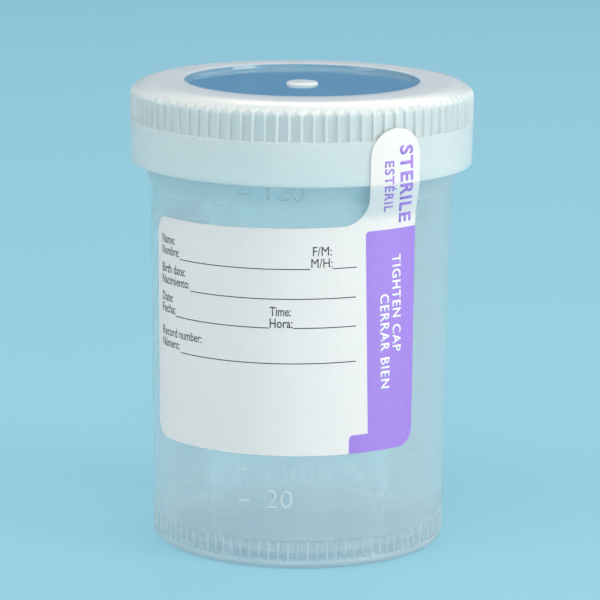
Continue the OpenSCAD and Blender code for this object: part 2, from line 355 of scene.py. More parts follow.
# %% [markdown]
# ## Paper, inks and foam
# The label is a coated paper with a faint fibre under its coat. The inks are flat and a
# little glossier than the paper. The sealing disc is a closed-cell foam, whose cells are a
# tenth of a millimetre and are drawn a little larger.

# %% Coated paper, printing inks and foam


def printed(name, colour, roughness, fibre, low, high, depth):
    """A flat coloured sheet with a fine fibre in its tint and its surface."""
    material = bpy.data.materials.new(name)
    material.use_nodes = True
    tree = material.node_tree
    shader = tree.nodes["Principled BSDF"]
    shader.inputs["Roughness"].default_value = roughness
    shader.inputs["Base Color"].default_value = linear(colour)
    place = object_place(tree)
    noise = add_node(tree, "ShaderNodeTexNoise", {"Vector": place.outputs["Vector"], "Scale": 1 / (fibre * MM), "Detail": 3.0})
    drifting(tree, shader, low, high, noise, depth, 0.4)
    return material


paper = printed("coated_paper", "#E9E4E3", 0.45, 0.6, "#E0D9D8", "#E8E1E0", 0.02)
paper_edge = printed("cut_paper_edge", "#F2F2EE", 0.8, 0.2, "#ECECE8", "#F6F6F2", 0.03)
black_ink = printed("black_litho_ink", "#23262E", 0.35, 0.5, "#1E2129", "#2C3038", 0.01)
violet_ink = printed("violet_litho_ink", "#AB88E6", 0.4, 0.8, "#9A74D2", "#A680D9", 0.01)
white_ink = printed("knocked_out_white", "#EEEAEC", 0.45, 0.5, "#EAE6E8", "#F2EEF0", 0.01)
foam = printed("closed_cell_foam", "#EEF2F2", 0.85, 0.3, "#E4EAEA", "#F4F7F7", 0.05)
print("paper, inks and foam ready")

# %% [markdown]
# ## A lathe with ribs, in Geometry Nodes
# Cup and cap are both turned profiles with fine ribs round one zone: the grip on the cap
# and the knurl at the foot. Modelling one rib and copying it would leave seams, so one
# tree does it all. It lays out a grid with a row for each profile point and a few columns
# for each rib. Every vertex reads its height and radius from the profile by its row, and
# its place in the rib by its column. In the zone the grooves sink in. At the zone's end
# they run out, and their edges rise before their middle does, so each ends in a point.

# %% Geometry Nodes: ribbed lathe
MATH = "ShaderNodeMath"
SIZE = "GeometryNodeAttributeDomainSize"


def new_tree(name, inputs):
    """A geometry tree with named inputs; returns the tree and its two end nodes."""
    tree = bpy.data.node_groups.new(name, "GeometryNodeTree")
    tree.interface.new_socket("Geometry", in_out="OUTPUT", socket_type="NodeSocketGeometry")
    tree.interface.new_socket("Geometry", in_out="INPUT", socket_type="NodeSocketGeometry")
    for title, kind, value in inputs:
        socket = tree.interface.new_socket(title, in_out="INPUT", socket_type="NodeSocket" + kind)
        if value is not None:
            socket.default_value = value
    return tree, tree.nodes.new("NodeGroupInput"), tree.nodes.new("NodeGroupOutput")


def sample(tree, geometry, index):
    """X, Y and Z of a point of a mesh, by its index."""
    place = add_node(tree, "GeometryNodeInputPosition").outputs[0]
    node = add_node(tree, "GeometryNodeSampleIndex", {"Geometry": geometry, "Index": index},
                    data_type="FLOAT_VECTOR", domain="POINT")
    tree.links.new(place, node.inputs["Value"])
    return add_node(tree, "ShaderNodeSeparateXYZ", {0: node.outputs["Value"]}).outputs


lathe, given, made = new_tree("ribbed_lathe", [
    ("Rib Section", "Object", None), ("Ribs", "Int", 90), ("Depth", "Float", 0.45 * MM),
    ("Zone Start", "Float", 0.0), ("Zone Full", "Float", 0.0),
    ("Runout Start", "Float", 1.0), ("Runout End", "Float", 1.0), ("Finish", "Material", None)])
section = add_node(lathe, "GeometryNodeObjectInfo", {"Object": given.outputs["Rib Section"]}).outputs["Geometry"]
rows = add_node(lathe, SIZE, {"Geometry": given.outputs["Geometry"]}).outputs["Point Count"]
section_points = add_node(lathe, SIZE, {"Geometry": section}).outputs["Point Count"]
columns = add_node(lathe, MATH, {0: given.outputs["Ribs"], 1: section_points}, operation="MULTIPLY")
grid = add_node(lathe, "GeometryNodeMeshGrid", {"Vertices X": add_node(lathe, MATH, {0: columns, 1: 1}, operation="ADD"), "Vertices Y": rows})
index = add_node(lathe, "GeometryNodeInputIndex").outputs[0]
row = add_node(lathe, MATH, {0: index, 1: rows}, operation="MODULO")
column = add_node(lathe, MATH, {0: add_node(lathe, MATH, {0: add_node(lathe, MATH, {0: index, 1: 0.5}, operation="ADD"), 1: rows}, operation="DIVIDE")}, operation="FLOOR")
profile = sample(lathe, given.outputs["Geometry"], row)
rib_place = sample(lathe, section, add_node(lathe, MATH, {0: column, 1: section_points}, operation="MODULO"))
rib = add_node(lathe, MATH, {0: add_node(lathe, MATH, {0: add_node(lathe, MATH, {0: column, 1: 0.5}, operation="ADD"), 1: section_points}, operation="DIVIDE")}, operation="FLOOR")
turn = add_node(lathe, MATH, {0: add_node(lathe, MATH, {0: rib, 1: rib_place["X"]}, operation="ADD"), 1: given.outputs["Ribs"]}, operation="DIVIDE")
angle = add_node(lathe, MATH, {0: turn, 1: 2 * math.pi}, operation="MULTIPLY")
rise = add_node(lathe, "ShaderNodeMapRange", {"Value": profile["Z"], "From Min": given.outputs["Zone Start"],
                                              "From Max": given.outputs["Zone Full"]}).outputs[0]
fall = add_node(lathe, "ShaderNodeMapRange", {"Value": profile["Z"], "From Min": given.outputs["Runout End"],
                                              "From Max": given.outputs["Runout Start"]}).outputs[0]
outside = add_node(lathe, MATH, {0: profile["Y"], 1: -0.5 * MM}, operation="GREATER_THAN")
zone = add_node(lathe, MATH, {0: add_node(lathe, MATH, {0: rise, 1: fall}, operation="MULTIPLY"), 1: outside}, operation="MULTIPLY")
early = add_node(lathe, MATH, {0: add_node(lathe, MATH, {0: zone, 1: 2.0}, operation="MULTIPLY"), 1: rib_place["Z"]}, operation="SUBTRACT", use_clamp=True)
sink = add_node(lathe, MATH, {0: add_node(lathe, MATH, {0: early, 1: rib_place["Y"]}, operation="MULTIPLY"), 1: given.outputs["Depth"]}, operation="MULTIPLY")
radius = add_node(lathe, MATH, {0: profile["X"], 1: sink}, operation="SUBTRACT")
place = add_node(lathe, "ShaderNodeCombineXYZ", {
    "X": add_node(lathe, MATH, {0: radius, 1: add_node(lathe, MATH, {0: angle}, operation="SINE")}, operation="MULTIPLY"),
    "Y": add_node(lathe, MATH, {0: radius, 1: add_node(lathe, MATH, {0: add_node(lathe, MATH, {0: angle}, operation="COSINE"), 1: -1.0}, operation="MULTIPLY")}, operation="MULTIPLY"),
    "Z": profile["Z"]})
turned = add_node(lathe, "GeometryNodeSetPosition", {"Geometry": grid.outputs["Mesh"], "Position": place.outputs[0]})
welded = add_node(lathe, "GeometryNodeMergeByDistance", {"Geometry": turned.outputs[0], "Distance": 0.002 * MM})
solid = add_node(lathe, "GeometryNodeRealizeInstances", {"Geometry": welded.outputs[0]})
finished = add_node(lathe, "GeometryNodeSetMaterial", {"Geometry": solid.outputs[0], "Material": given.outputs["Finish"]})
lathe.links.new(finished.outputs[0], made.inputs[0])
print("ribbed lathe tree:", len(lathe.nodes), "nodes")

# %% Running a tree on a mesh


def run_tree(carrier, tree, values, name):
    """Runs a geometry tree on an object and returns the result as a plain mesh object."""
    modifier = carrier.modifiers.new("rule", "NODES")
    modifier.node_group = tree
    sockets = {s.name: s.identifier for s in tree.interface.items_tree if s.in_out == "INPUT"}
    for title, value in values.items():
        modifier[sockets[title]] = value
    bpy.context.view_layer.update()
    graph = bpy.context.evaluated_depsgraph_get()
    mesh = bpy.data.meshes.new_from_object(carrier.evaluated_get(graph))
    carrier.modifiers.remove(modifier)
    bpy.data.objects.remove(carrier)
    mesh.name = name
    obj = bpy.data.objects.new(name, mesh)
    bpy.context.scene.collection.objects.link(obj)
    return obj


def outward(obj):
    """Turns faces outwards if they are not, and says how closed the mesh is."""
    bm = bmesh.new()
    bm.from_mesh(obj.data)
    volume = bm.calc_volume(signed=True)
    if volume < 0:
        bmesh.ops.reverse_faces(bm, faces=bm.faces)
    open_edges = sum(1 for e in bm.edges if not e.is_manifold)
    bm.to_mesh(obj.data)
    bm.free()
    print(obj.name, "faces", len(obj.data.polygons), "volume mm3", round(abs(volume) / MM ** 3, 1),
          "turned" if volume < 0 else "outward", "open edges", open_edges)
    return obj


def polyline(name, points):
    """A chain of vertices; points are (radius, shade, height) in millimetres."""
    return mesh_object(name, points, edges=[(i, i + 1) for i in range(len(points) - 1)])


def rib_section(name, pitch, crest, foot, floor_steps):
    """One rib and groove: X is the share of a pitch, Y the depth, Z how early it rises."""
    c, f = crest / pitch / 2, foot / pitch / 2
    points = [(-c, 0, 0), (c, 0, 0)]
    for i in range(floor_steps + 1):
        x = f + (1 - 2 * f) * i / floor_steps
        points.append((x, 1, abs(2 * i / floor_steps - 1)))
    mesh = bpy.data.meshes.new(name)
    mesh.from_pydata(points, [(i, i + 1) for i in range(len(points) - 1)], [])
    obj = bpy.data.objects.new(name, mesh)
    bpy.context.scene.collection.objects.link(obj)
    return obj


print("helpers to run a tree are ready")

# %% [markdown]
# ## Thread ridges
# The neck carries three raised ridges that wind up round it, and the cap carries three
# more that wind between them inside the skirt. A ridge follows a helix and has the same
# trapezoid section all the way, apart from its ends, which grow out of the wall. A second
# tree sweeps it: each column of a grid is a step of the turn and each row a corner of the
# section. The ridge is then united with its wall, because two clear solids that overlap
# would show a skin inside the plastic.

# %% Geometry Nodes: thread ridges
thread, given, made = new_tree("thread_ridges", [
    ("Steps", "Int", 80), ("Turn", "Float", 240.0), ("Starts", "Int", 3), ("First Azimuth", "Float", 0.0),
    ("First Height", "Float", 0.0), ("Lead", "Float", 9 * MM), ("Wall Radius", "Float", 27.7 * MM),
    ("Ridge Height", "Float", 0.9 * MM), ("Run In", "Float", 18.0), ("Finish", "Material", None)])
corners = add_node(thread, SIZE, {"Geometry": given.outputs["Geometry"]}).outputs["Point Count"]
grid = add_node(thread, "GeometryNodeMeshGrid", {"Vertices X": given.outputs["Steps"], "Vertices Y": corners})
index = add_node(thread, "GeometryNodeInputIndex").outputs[0]
row = add_node(thread, MATH, {0: index, 1: corners}, operation="MODULO")
step = add_node(thread, MATH, {0: add_node(thread, MATH, {0: add_node(thread, MATH, {0: index, 1: 0.5}, operation="ADD"), 1: corners}, operation="DIVIDE")}, operation="FLOOR")
share = add_node(thread, MATH, {0: step, 1: add_node(thread, MATH, {0: given.outputs["Steps"], 1: 1}, operation="SUBTRACT")}, operation="DIVIDE")
degrees = add_node(thread, MATH, {0: share, 1: given.outputs["Turn"]}, operation="MULTIPLY")
left_over = add_node(thread, MATH, {0: given.outputs["Turn"], 1: degrees}, operation="SUBTRACT")
grown = add_node(thread, MATH, {0: add_node(thread, MATH, {0: degrees, 1: left_over}, operation="MINIMUM"), 1: given.outputs["Run In"]}, operation="DIVIDE", use_clamp=True)
grown = add_node(thread, MATH, {0: grown, 1: 0.05}, operation="MAXIMUM")
corner = sample(thread, given.outputs["Geometry"], row)
out = add_node(thread, MATH, {0: add_node(thread, MATH, {0: corner["X"], 1: grown}, operation="MULTIPLY"), 1: given.outputs["Ridge Height"]}, operation="MULTIPLY")
root = add_node(thread, MATH, {0: corner["Y"], 1: 1.0}, operation="MULTIPLY")
radius = add_node(thread, MATH, {0: add_node(thread, MATH, {0: given.outputs["Wall Radius"], 1: out}, operation="ADD"), 1: root}, operation="ADD")
climb = add_node(thread, MATH, {0: add_node(thread, MATH, {0: degrees, 1: 360.0}, operation="DIVIDE"), 1: given.outputs["Lead"]}, operation="MULTIPLY")
height = add_node(thread, MATH, {0: add_node(thread, MATH, {0: given.outputs["First Height"], 1: climb}, operation="ADD"), 1: corner["Z"]}, operation="ADD")
azimuth = add_node(thread, MATH, {0: add_node(thread, MATH, {0: degrees, 1: given.outputs["First Azimuth"]}, operation="ADD")}, operation="RADIANS")
place = add_node(thread, "ShaderNodeCombineXYZ", {
    "X": add_node(thread, MATH, {0: radius, 1: add_node(thread, MATH, {0: azimuth}, operation="SINE")}, operation="MULTIPLY"),
    "Y": add_node(thread, MATH, {0: radius, 1: add_node(thread, MATH, {0: add_node(thread, MATH, {0: azimuth}, operation="COSINE"), 1: -1.0}, operation="MULTIPLY")}, operation="MULTIPLY"),
    "Z": height})
swept = add_node(thread, "GeometryNodeSetPosition", {"Geometry": grid.outputs["Mesh"], "Position": place.outputs[0]})
starts = add_node(thread, "GeometryNodeMeshLine", {"Count": given.outputs["Starts"], "Offset": (0, 0, 0)})
which = add_node(thread, "GeometryNodeInputIndex").outputs[0]
spread = add_node(thread, MATH, {0: add_node(thread, MATH, {0: which, 1: given.outputs["Starts"]}, operation="DIVIDE"), 1: 2 * math.pi}, operation="MULTIPLY")
facing = add_node(thread, "ShaderNodeCombineXYZ", {"Z": spread})
copies = add_node(thread, "GeometryNodeInstanceOnPoints", {"Points": starts.outputs[0], "Instance": swept.outputs[0]})
thread.links.new(facing.outputs[0], copies.inputs["Rotation"])
solid = add_node(thread, "GeometryNodeRealizeInstances", {"Geometry": copies.outputs[0]})
welded = add_node(thread, "GeometryNodeMergeByDistance", {"Geometry": solid.outputs[0], "Distance": 0.002 * MM})
finished = add_node(thread, "GeometryNodeSetMaterial", {"Geometry": welded.outputs[0], "Material": given.outputs["Finish"]})
thread.links.new(finished.outputs[0], made.inputs[0])
print("thread tree:", len(thread.nodes), "nodes")

# %% Sizes of the thread and the helper that unites it with a wall
LEAD = 9.0
RIDGE_H = 0.9
RIDGE_FOOT = 1.6
RIDGE_CREST = 0.6
ROOT = 0.3              # how deep a ridge's foot reaches into its wall
THREAD_Z = NECK_Z + 2.3
THREAD_TURN = 240.0
THREAD_AZ = -10.0
BORE_R = NECK_R + RIDGE_H + 0.25
CAP_LAG = (SKIRT_Z + 0.6 + RIDGE_FOOT / 2 - THREAD_Z + LEAD / 6) * 360 / LEAD


def ridges(name, side, wall, azimuth, height, turn, finish):
    """Three ridges on a wall; side is 1 outward from a neck and -1 inward from a skirt."""
    foot, crest = RIDGE_FOOT / 2, RIDGE_CREST / 2
    loop = [(0, -side * ROOT, -foot), (side, 0, -crest), (side, 0, crest), (0, -side * ROOT, foot),
            (0, -side * ROOT, -foot)]
    carrier = mesh_object(name + "_corners", [(x / MM, y, z) for x, y, z in loop], edges=[(i, i + 1) for i in range(4)])
    made = run_tree(carrier, thread, {
        "Steps": int(turn / 3) + 1, "Turn": turn, "Starts": 3, "First Azimuth": azimuth, "First Height": height * MM,
        "Lead": LEAD * MM, "Wall Radius": wall * MM, "Ridge Height": RIDGE_H * MM, "Run In": 18.0, "Finish": finish}, name)
    bm = bmesh.new()
    bm.from_mesh(made.data)
    bmesh.ops.holes_fill(bm, edges=[e for e in bm.edges if e.is_boundary], sides=8)
    bmesh.ops.recalc_face_normals(bm, faces=bm.faces)
    bm.to_mesh(made.data)
    bm.free()
    return outward(made)


def unite(obj, other):
    """Joins another closed mesh to obj as one solid."""
    modifier = obj.modifiers.new("unite", "BOOLEAN")
    modifier.operation = "UNION"
    modifier.solver = "MANIFOLD"
    modifier.object = other
    bpy.context.view_layer.update()
    graph = bpy.context.evaluated_depsgraph_get()
    mesh = bpy.data.meshes.new_from_object(obj.evaluated_get(graph))
    obj.modifiers.clear()
    obj.data = mesh
    bpy.data.objects.remove(other)
    return outward(obj)


# %% [markdown]
# ## The cup
# The cup is one moulding: a floor with a shallow hollow under it, a knurled foot band, a
# wall that widens by a hair towards the top, a flare and a straight neck with a rounded
# rim. Its half outline runs from the middle of the underside up the outside, over the rim
# and down the inside to the middle of the floor.

# %% The cup's outline and knurl
FOOT_R = wall_r(FOOT_H) - 0.12
FOOT_ROUND = 1.4
FLOOR_Z = 2.0
FLOOR_ROUND = 1.6
HOLLOW = 0.6
STAND_W = 3.4
RIM_ROUND = 0.42
INSIDE = -1             # marks the points of an outline that the ribs must not reach


def chain(points, shade=0):
    return [(r, shade, z) for r, z in points]


def steps_between(z0, z1, radius_at, count):
    """Points of a wall from z0 to z1."""
    return [(radius_at(z0 + (z1 - z0) * i / count), z0 + (z1 - z0) * i / count) for i in range(count + 1)]


outer = (
    [(0, HOLLOW), (10, HOLLOW), (FOOT_R - FOOT_ROUND - STAND_W, HOLLOW), (FOOT_R - FOOT_ROUND - STAND_W + 0.5, 0)]
    + arc(FOOT_R - FOOT_ROUND, FOOT_ROUND, FOOT_ROUND, FOOT_ROUND, -90, -6, 10)
    + [(FOOT_R, 1.6), (FOOT_R, 3.2), (FOOT_R, FOOT_H - 0.16), (FOOT_R, FOOT_H - 0.12), (wall_r(FOOT_H), FOOT_H)]
    + steps_between(FOOT_H + 0.1, FLARE_Z - 0.4, wall_r, 12)
    + steps_between(FLARE_Z, NECK_Z, outer_r, 8)
    + [(NECK_R, NECK_Z + 0.3), (NECK_R, RIM_Z - 2)]
    + arc(NECK_R - RIM_ROUND, RIM_Z - RIM_ROUND, RIM_ROUND, RIM_ROUND, 0, 90, 5)
)
inner = (
    arc(NECK_R - WALL + RIM_ROUND, RIM_Z - RIM_ROUND, RIM_ROUND, RIM_ROUND, 95, 180, 5)
    + [(NECK_R - WALL, RIM_Z - 2), (NECK_R - WALL, NECK_Z + 0.5)]
    + [(r - WALL, z + 0.3) for r, z in reversed(steps_between(FLARE_Z, NECK_Z - 0.2, outer_r, 8))]
    + [(r - WALL, z) for r, z in steps_between(FLARE_Z - 0.5, FLOOR_Z + FLOOR_ROUND + 0.2, wall_r, 12)]
    + arc(wall_r(FLOOR_Z) - WALL - FLOOR_ROUND, FLOOR_Z + FLOOR_ROUND, FLOOR_ROUND, FLOOR_ROUND, 0, -90, 8)
    + [(14, FLOOR_Z), (0, FLOOR_Z)]
)
KNURLS = 96
knurl = rib_section("knurl_section", 2 * math.pi * FOOT_R / KNURLS, 0.14, 0.36, 2)
cup = run_tree(polyline("cup_outline", chain(outer) + chain(inner, INSIDE)), lathe, {
    "Rib Section": knurl, "Ribs": KNURLS, "Depth": 0.13 * MM, "Zone Start": 1.2 * MM, "Zone Full": 1.7 * MM,
    "Runout Start": (FOOT_H - 0.15) * MM, "Runout End": (FOOT_H - 0.12) * MM, "Finish": clear_pp}, "clear_cup")
outward(cup)
unite(cup, ridges("neck_ridges", 1, NECK_R, THREAD_AZ, THREAD_Z, THREAD_TURN, clear_pp))
cup.data.materials.append(matt_pp)
matt_faces = 0
for face in cup.data.polygons:
    x, y, z = face.center / MM
    from_axis = math.hypot(x, y)
    crest = z < FOOT_H and from_axis > FOOT_R - 0.09
    under = z < 1.2 and from_axis > FOOT_R - FOOT_ROUND
    if crest or under or (FLARE_Z < z < NECK_Z and from_axis > outer_r(z) - 0.6):
        face.material_index = len(cup.data.materials) - 1
        matt_faces += 1
print("matt faces", matt_faces)
smooth(cup)
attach(cup, "cup_body")
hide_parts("cup")

# %% [markdown]
# ## The cap
# The cap is turned the same way: a skirt with a fine vertical grip on its upper half, a
# rounded shoulder, a flat ring and a shallow round recess with a small pad left by the
# moulding gate. Its grip starts at a sharp ledge and runs out in points on the shoulder.

# %% The cap's outline and grip
CEILING_Z = TOP_Z - 2.0
SHOULDER_Z = TOP_Z - 2.3
SHOULDER_W = 4.6
RECESS_R = 20.5
RECESS_FLOOR = TOP_Z - 0.75
PAD_R = 2.8
PAD_H = 0.45
EDGE = 0.38
GRIPS = 90

top = (
    [(0, RECESS_FLOOR + PAD_H), (1.6, RECESS_FLOOR + PAD_H)]
    + arc(PAD_R - PAD_H, RECESS_FLOOR, PAD_H, PAD_H, 90, 0, 6)
    + [(PAD_R + 0.4, RECESS_FLOOR), (8, RECESS_FLOOR), (14, RECESS_FLOOR), (RECESS_R - 0.35, RECESS_FLOOR)]
    + arc(RECESS_R - 0.35, RECESS_FLOOR + 0.25, 0.25, 0.25, -80, -10, 3)
    + arc(RECESS_R + 0.12, TOP_Z - 0.12, 0.12, 0.12, 180, 90, 3)
    + [(22.8, TOP_Z)]
)
shoulder = arc(CAP_R - SHOULDER_W, SHOULDER_Z, SHOULDER_W, TOP_Z - SHOULDER_Z, 90, 0, 24)
skirt = (
    [(CAP_R, z) for z in (SHOULDER_Z - 0.03, 78, 76.5, GRIP_Z + 0.02, GRIP_Z)]
    + [(CAP_R - SKIRT_TAPER * (GRIP_Z - z) / (GRIP_Z - SKIRT_Z), z) for z in (GRIP_Z - 0.2, 73, 71, 69, SKIRT_Z + EDGE)]
    + arc(CAP_R - SKIRT_TAPER - EDGE, SKIRT_Z + EDGE, EDGE, EDGE, -15, -90, 5)
)
under = (
    [(BORE_R + EDGE, SKIRT_Z), (BORE_R + 0.1, SKIRT_Z + 0.25), (BORE_R, SKIRT_Z + 2 * EDGE)]
    + [(BORE_R, z) for z in (70, 72, 74, 76, 78)]
    + arc(BORE_R - 0.3, CEILING_Z - 0.3, 0.3, 0.3, 0, 90, 4)
    + [(20, CEILING_Z), (10, CEILING_Z), (0, CEILING_Z)]
)
grip = rib_section("grip_section", 2 * math.pi * CAP_R / GRIPS, 0.3, 0.52, 4)
cap = run_tree(polyline("cap_outline", chain(top + shoulder[1:] + skirt) + chain(under, INSIDE)), lathe, {
    "Rib Section": grip, "Ribs": GRIPS, "Depth": 0.45 * MM, "Zone Start": GRIP_Z * MM, "Zone Full": (GRIP_Z + 0.02) * MM,
    "Runout Start": SHOULDER_Z * MM, "Runout End": (SHOULDER_Z + 1.6) * MM, "Finish": frosted_pe}, "screw_cap")
outward(cap)
unite(cap, ridges("skirt_ridges", -1, BORE_R, THREAD_AZ + CAP_LAG, THREAD_Z - LEAD / 6 + LEAD * CAP_LAG / 360,
                  THREAD_TURN - CAP_LAG, frosted_pe))
# the recess faces take the polished finish, whose blue is a painted reflection
cap.data.materials.append(polished_pe_painted_reflection)
for face in cap.data.polygons:
    x, y, z = face.center / MM
    if z > RECESS_FLOOR - 0.1 and PAD_R + 0.1 < math.hypot(x, y) < RECESS_R + 0.1:
        face.material_index = len(cap.data.materials) - 1
smooth(cap)
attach(cap, "cap_body")
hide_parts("cap")
for helper in (knurl, grip):
    bpy.data.objects.remove(helper)

# %% [markdown]
# ## The scale in the wall
# Three columns of short bars are moulded on the outside of the wall, one every 10 mL, with
# the longer ones at every 20 mL. The cup widens as it rises, so each step is a little
# shorter than the one below. A tree places the bars by that rule and bends each of them
# to the wall. The numerals are the built-in typeface with thin strokes, made a mesh, cut
# into narrow strips and bent to the wall in the same way.

# %% Geometry Nodes: graduation bars
SCALE_FIRST = 12.0      # height of the 20 mL bar
SCALE_STEP = 5.55
SCALE_SHRINK = 0.02
BAR_H = 0.14            # how far a bar stands out
BAR_W = 0.34
COLUMNS = (-15.6, 115.0, -138.5)

bars, given, made = new_tree("graduation_bars", [
    ("Bars", "Int", 11), ("First Height", "Float", SCALE_FIRST * MM), ("Step", "Float", SCALE_STEP * MM),
    ("Shrink", "Float", SCALE_SHRINK * MM), ("Long", "Float", 5.0), ("Short", "Float", 3.2), ("Width", "Float", BAR_W * MM),
    ("Stand Out", "Float", BAR_H * MM), ("Wall Radius", "Float", WALL_R * MM), ("Taper", "Float", 0.0),
    ("Flare Height", "Float", FLARE_Z * MM), ("Finish", "Material", None)])
columns = add_node(bars, SIZE, {"Geometry": given.outputs["Geometry"]}).outputs["Point Count"]
spots = add_node(bars, "GeometryNodeMeshLine", {"Count": add_node(bars, MATH, {0: columns, 1: given.outputs["Bars"]}, operation="MULTIPLY"), "Offset": (0, 0, 0)})
bar = add_node(bars, "GeometryNodeMeshCube", {"Size": (1, 1, 1), "Vertices X": 4, "Vertices Y": 2, "Vertices Z": 2})
index = add_node(bars, "GeometryNodeInputIndex").outputs[0]
step = add_node(bars, MATH, {0: index, 1: given.outputs["Bars"]}, operation="MODULO")
column = add_node(bars, MATH, {0: add_node(bars, MATH, {0: add_node(bars, MATH, {0: index, 1: 0.5}, operation="ADD"), 1: given.outputs["Bars"]}, operation="DIVIDE")}, operation="FLOOR")
start = sample(bars, given.outputs["Geometry"], column)["X"]
odd = add_node(bars, MATH, {0: step, 1: 2.0}, operation="MODULO")
span = add_node(bars, MATH, {0: given.outputs["Long"], 1: add_node(bars, MATH, {0: odd, 1: add_node(bars, MATH, {0: given.outputs["Long"], 1: given.outputs["Short"]}, operation="SUBTRACT")}, operation="MULTIPLY")}, operation="SUBTRACT")
climb = add_node(bars, MATH, {0: add_node(bars, MATH, {0: step, 1: given.outputs["Step"]}, operation="MULTIPLY"), 1: add_node(bars, MATH, {0: add_node(bars, MATH, {0: step, 1: step}, operation="MULTIPLY"), 1: given.outputs["Shrink"]}, operation="MULTIPLY")}, operation="SUBTRACT")
size = add_node(bars, "ShaderNodeCombineXYZ", {"X": span, "Y": given.outputs["Stand Out"], "Z": given.outputs["Width"]})
spot = add_node(bars, "ShaderNodeCombineXYZ", {
    "X": add_node(bars, MATH, {0: start, 1: add_node(bars, MATH, {0: span, 1: -0.5}, operation="MULTIPLY")}, operation="SUBTRACT"), "Z": add_node(bars, MATH, {0: given.outputs["First Height"], 1: climb}, operation="ADD")})
moved = add_node(bars, "GeometryNodeSetPosition", {"Geometry": spots.outputs[0], "Position": spot.outputs[0]})
# the bar's size is captured on its spot, because the move changes no index
copies = add_node(bars, "GeometryNodeInstanceOnPoints", {"Points": moved.outputs[0], "Instance": bar.outputs[0], "Scale": size.outputs[0]})
solid = add_node(bars, "GeometryNodeRealizeInstances", {"Geometry": copies.outputs[0]})
flat = add_node(bars, "ShaderNodeSeparateXYZ", {0: add_node(bars, "GeometryNodeInputPosition").outputs[0]}).outputs
below = add_node(bars, MATH, {0: given.outputs["Flare Height"], 1: flat["Z"]}, operation="SUBTRACT")
above = add_node(bars, "ShaderNodeMapRange", {"Value": flat["Z"], "From Min": FLARE_Z * MM, "From Max": NECK_Z * MM}).outputs[0]
flared = add_node(bars, MATH, {0: add_node(bars, MATH, {0: above, 1: add_node(bars, MATH, {0: add_node(bars, MATH, {0: above, 1: 0.45}, operation="MULTIPLY"), 1: 0.55}, operation="ADD")}, operation="MULTIPLY"), 1: FLARE_OUT * MM}, operation="MULTIPLY")
narrowed = add_node(bars, MATH, {0: add_node(bars, MATH, {0: below, 1: 0.0}, operation="MAXIMUM"), 1: given.outputs["Taper"]}, operation="MULTIPLY")
wall = add_node(bars, MATH, {0: add_node(bars, MATH, {0: given.outputs["Wall Radius"], 1: narrowed}, operation="SUBTRACT"), 1: flared}, operation="ADD")
radius = add_node(bars, MATH, {0: add_node(bars, MATH, {0: wall, 1: flat["Y"]}, operation="ADD"), 1: BAR_H * MM * 0.35}, operation="ADD")
azimuth = add_node(bars, MATH, {0: flat["X"]}, operation="RADIANS")
bent_place = add_node(bars, "ShaderNodeCombineXYZ", {
    "X": add_node(bars, MATH, {0: radius, 1: add_node(bars, MATH, {0: azimuth}, operation="SINE")}, operation="MULTIPLY"),
    "Y": add_node(bars, MATH, {0: radius, 1: add_node(bars, MATH, {0: add_node(bars, MATH, {0: azimuth}, operation="COSINE"), 1: -1.0}, operation="MULTIPLY")}, operation="MULTIPLY"), "Z": flat["Z"]})
bent = add_node(bars, "GeometryNodeSetPosition", {"Geometry": solid.outputs[0], "Position": bent_place.outputs[0]})
finished = add_node(bars, "GeometryNodeSetMaterial", {"Geometry": bent.outputs[0], "Material": given.outputs["Finish"]})
bars.links.new(finished.outputs[0], made.inputs[0])

raised_pp, shader = moulded_plastic("raised_scale_polypropylene", "#EEF6F8", 0.45, 0.2)
shader.inputs["Alpha"].default_value = 0.8
tree = raised_pp.node_tree
place = object_place(tree)
worn = add_node(tree, "ShaderNodeTexNoise", {"Vector": place.outputs["Vector"], "Scale": 1 / (3 * MM), "Detail": 2.0})
drifting(tree, shader, "#E3EFF2", "#F6FBFC", worn, 0.01, 0.2)

marks = run_tree(mesh_object("scale_columns", [((c - 8) / MM, 0, 0) for c in COLUMNS]), bars, {
    "Bars": 11, "First Height": SCALE_FIRST * MM, "Step": SCALE_STEP * MM, "Shrink": SCALE_SHRINK * MM, "Long": 5.0,
    "Short": 3.2, "Width": BAR_W * MM, "Stand Out": BAR_H * MM, "Wall Radius": WALL_R * MM,
    "Taper": WALL_TAPER / (FLARE_Z - FOOT_H), "Flare Height": FLARE_Z * MM, "Finish": raised_pp}, "scale_bars")
outward(marks)
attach(marks, "cup_body")

# %% [markdown]
# ## From flat sheets to bent ones
# The label, its print and the numerals are all drawn flat first, in millimetres, with the
# distance round the cup as X and the height as Y. A flat sheet is cut into narrow upright
# strips, given its thickness, and then every vertex is moved to the wall or the paper.

# %% Bending a flat sheet round the cup
STRIP = 0.8             # width of a strip, mm
CAP_SHARE = 0.682       # cap height of the built-in typeface as a share of its size


def flat_outline(points):
    """A flat bmesh with one face from points in millimetres."""
    bm = bmesh.new()
    bm.faces.new([bm.verts.new((x, y, 0)) for x, y in points])
    return bm


def flat_text(words, cap_mm, length, stroke=0.0, gap=1.0):
    """A flat bmesh of text with a capital's height and the whole length in millimetres."""
    curve = bpy.data.curves.new("lettering", "FONT")
    curve.body = words
    curve.offset = stroke
    curve.space_character = gap
    curve.resolution_u = 3
    obj = bpy.data.objects.new("lettering", curve)
    bpy.context.scene.collection.objects.link(obj)
    bpy.context.view_layer.update()
    mesh = bpy.data.meshes.new_from_object(obj.evaluated_get(bpy.context.evaluated_depsgraph_get()))
    bpy.data.objects.remove(obj)
    bm = bmesh.new()
    bm.from_mesh(mesh)
    bpy.data.meshes.remove(mesh)
    left = min(v.co.x for v in bm.verts)
    right = max(v.co.x for v in bm.verts)
    for v in bm.verts:
        v.co = Vector(((v.co.x - left) * length / (right - left), v.co.y * cap_mm / CAP_SHARE, 0))
    return bm


